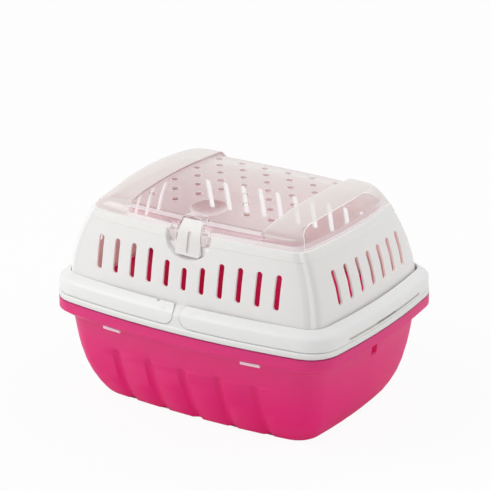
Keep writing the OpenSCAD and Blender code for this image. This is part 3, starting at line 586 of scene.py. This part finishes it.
# %% [markdown]
# ## Reflections and bright edges
# Clear plastic mirrors the white room the more, the flatter one looks along it, so the alpha rises
# towards grazing angles. That draws the steps and the finger scoop. The roof's moulded edges are
# rounded by about a millimetre and catch the light as thin pale lines. Cutting those roundings into
# the mesh would add many faces, so these lines are painted highlights. The Bevel node only gives the
# normal that a rounded edge would have, and where it differs from the plain normal, the edge is
# painted nearly white and hides more of the cabin. Reflections and edges are kept to the faces that
# are turned to the eye, or each wall would show them twice.

# %% How much of the roof is seen
EDGE_ROUNDING = 0.0011
STRONGEST = 0.9  # the most that a reflection or an edge hides of the cabin
GRAZING, UNLIKE = (0.3, 1.05), (0.003, 0.05)  # where reflections and edges begin and are full

to_the_eye = 1.0 - box(tree, "ShaderNodeNewGeometry", out="Backfacing")
slant = box(tree, "ShaderNodeLayerWeight", out="Facing", Blend=0.5)
mirror = slant.step(*GRAZING) * to_the_eye * STRONGEST
plain = box(tree, "ShaderNodeNewGeometry", out="Normal")
rounded = box(tree, "ShaderNodeBevel", {"samples": 6}, Radius=EDGE_ROUNDING)
alike = box(tree, "ShaderNodeVectorMath", {"operation": "DOT_PRODUCT"}, out="Value", i0=plain, i1=rounded)
# Painted highlight: where the Bevel normal differs from the plain one, the edge is made pale.
edge_highlight = (1.0 - alike).step(*UNLIKE) * to_the_eye * STRONGEST
feed(shader.inputs["Alpha"], 1.0 - (1.0 - milk) * (1.0 - mirror) * (1.0 - edge_highlight))
print("edges of the roof look rounded by", EDGE_ROUNDING * 1000, "mm")

# %% [markdown]
# ## The tints of the roof
# The milky share has a colour of its own. It is rosier at the front and low on the shoulders, where
# the tub's pink shines into it, and more neutral at the back and high up. Three of the zones carry
# painted shade, a darker tint, and the edges are painted nearly white, as painted highlights. The
# tint could be one colour all over, but then the frosted ends would look like paint.

# %% Colour of the roof
FRONT_CLEAR, REAR_CLEAR = (0.93, 0.84, 0.86, 1), (0.91, 0.87, 0.855, 1)
LOW_FROST, HIGH_FROST = (0.86, 0.74, 0.75, 1), (0.85, 0.80, 0.77, 1)
SHADE_TINTS = {
    "sill of each window": (0.80, 0.60, 0.63, 1),
    "front riser": (0.86, 0.66, 0.71, 1),
    "left front corner": (0.75, 0.67, 0.65, 1),
}
EDGE_HIGHLIGHT_WHITE = (0.99, 0.95, 0.95, 1)

clear_tint = blend(y.step(-0.07, 0.06), FRONT_CLEAR, REAR_CLEAR)
tint = blend(frosted, clear_tint, blend(high, LOW_FROST, HIGH_FROST))
# Painted shade: the window sills, the front riser and the left front corner are tinted darker.
for name, colour in SHADE_TINTS.items():
    tint = blend(zones[name][0], tint, colour)
feed(shader.inputs["Base Color"], blend(edge_highlight, tint, EDGE_HIGHLIGHT_WHITE))
all_over(shader, Specular_IOR_Level=0.6)
print("zones with a tint of their own:", ", ".join(SHADE_TINTS))

# %% [markdown]
# ## Light through the roof
# Light that comes from lamps or from other surfaces passes straight through the roof and is hardly
# dimmed, so the cabin below is lit as in life. The Light Path node tells such rays from those that
# come from the eye, and a Mix Shader gives each kind its own shader.

# %% Let the light through
HARDLY_DIMMED = (0.97, 0.95, 0.95, 1)


def ray(tree, kind):
    """1 for rays of this kind and 0 for all others."""
    return box(tree, "ShaderNodeLightPath", out=f"Is {kind} Ray")


def change_to(other, share, tree, shader, out):
    """Shows the other shader where share is 1."""
    own = Value(tree, shader.outputs[0])
    feed(out.inputs[0], box(tree, "ShaderNodeMixShader", i0=share, i1=own, i2=other))


open_way = box(tree, "ShaderNodeBsdfTransparent", Color=HARDLY_DIMMED)
change_to(open_way, ray(tree, "Shadow").larger(ray(tree, "Diffuse")), tree, shader, out)
wear(roof, roof_clear)

# %% [markdown]
# ## The table
# The carrier stands on a white table that fades into a white room. More light would make the table
# white, but would bleach the carrier too. So the table glows, to the eye only, and a small share of
# its real surface keeps the carrier's soft shadow. To the lamps it is an ordinary pale surface.

# %% Table
WHITE = (1, 1, 1, 1)
TABLE_SIZE = 12.0
TABLE_PALE = (0.86, 0.86, 0.86, 1)
TABLE_GLOW = 0.93

bpy.ops.object.select_all(action="DESELECT")
bpy.ops.mesh.primitive_plane_add(size=TABLE_SIZE, location=(0, 0, 0))
table = bpy.context.object
table.name = "table"
table_white, tree, shader, out = plastic("table_white")
all_over(shader, Base_Color=TABLE_PALE, Roughness=0.7)
seen = ray(tree, "Camera") + ray(tree, "Transmission")
change_to(box(tree, "ShaderNodeEmission", Color=WHITE), seen * TABLE_GLOW, tree, shader, out)
wear(table, table_white)

# %% [markdown]
# ## The room
# The room is plain white to the eye and in reflections. As a light it is dimmer, because a room as
# bright as it looks would light the carrier evenly from all sides and flatten its forms. The
# Standard view transform shows each colour about as it is written.

# %% Room
ROOM_LIGHT = 0.55

scene = bpy.context.scene
scene.view_settings.view_transform = "Standard"
world = bpy.data.worlds.new("room")
scene.world = world
world.use_nodes = True
tree = world.node_tree
tree.nodes.clear()
seen = (ray(tree, "Camera") + ray(tree, "Glossy") + ray(tree, "Transmission")).smaller(1.0)
room = box(tree, "ShaderNodeBackground", Color=WHITE, Strength=ROOM_LIGHT + seen * (1 - ROOM_LIGHT))
box(tree, "ShaderNodeOutputWorld", Surface=room)
print("as a light the room has", ROOM_LIGHT, "of the white that the eye sees")

# %% [markdown]
# ## The lamps
# Three large soft lamps light the carrier: the key from above on the left, a fill from the right
# and one from behind. Small lamps would give hard shadows and pinpoint highlights. Large ones give
# the soft shadows and the broad sheen that plastic shows in a studio.

# %% Lamps
def lamp(name, stand, size, power):
    """A soft square lamp that faces the carrier."""
    data = bpy.data.lights.new(name, "AREA")
    data.shape = "RECTANGLE"
    data.size, data.size_y, data.energy = size, size, power
    light = bpy.data.objects.new(name, data)
    light.location = stand
    light.rotation_euler = (CARRIER_MIDDLE - light.location).to_track_quat("-Z", "Y").to_euler()
    scene.collection.objects.link(light)
    print(name, "lamp:", size, "m wide,", power, "W")


lamp("key", (-1.2, -1.15, 1.4), 1.3, 19)
lamp("fill", (1.8, 0.6, 1.1), 1.6, 8)
lamp("back", (0.3, 1.9, 1.6), 1.4, 8)
